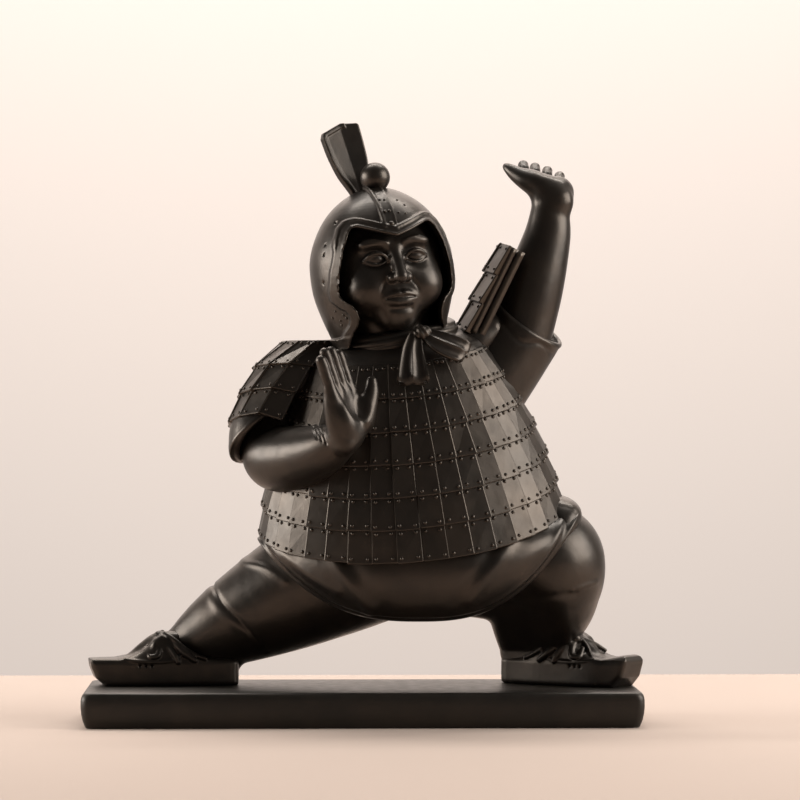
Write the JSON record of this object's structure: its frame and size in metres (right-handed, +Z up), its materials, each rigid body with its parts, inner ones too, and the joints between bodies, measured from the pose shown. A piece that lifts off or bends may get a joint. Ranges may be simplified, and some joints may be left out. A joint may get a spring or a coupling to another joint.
{
  "type": "warrior figurine",
  "caption": "Small cast figurine of a chubby armoured warrior in a low side lunge, one palm forward and one raised, on a plain slab plinth.",
  "frame": {"origin": "centre of the plinth's underside", "axes": "+Z up, +X to the viewer's right along the plinth's length, the figure faces -Y"},
  "size_m": [0.2173, 0.1056, 0.2328],
  "materials": {
    "black_satin": "cast resin with a warm black satin finish, a soft sheen on the worn high places and duller recesses",
    "plinth_black_satin": "the same black satin on a slightly uneven flat slab"
  },
  "bodies": {
    "root": {"figure": "black_satin", "plinth": "plinth_black_satin"}
  },
  "joints": []
}
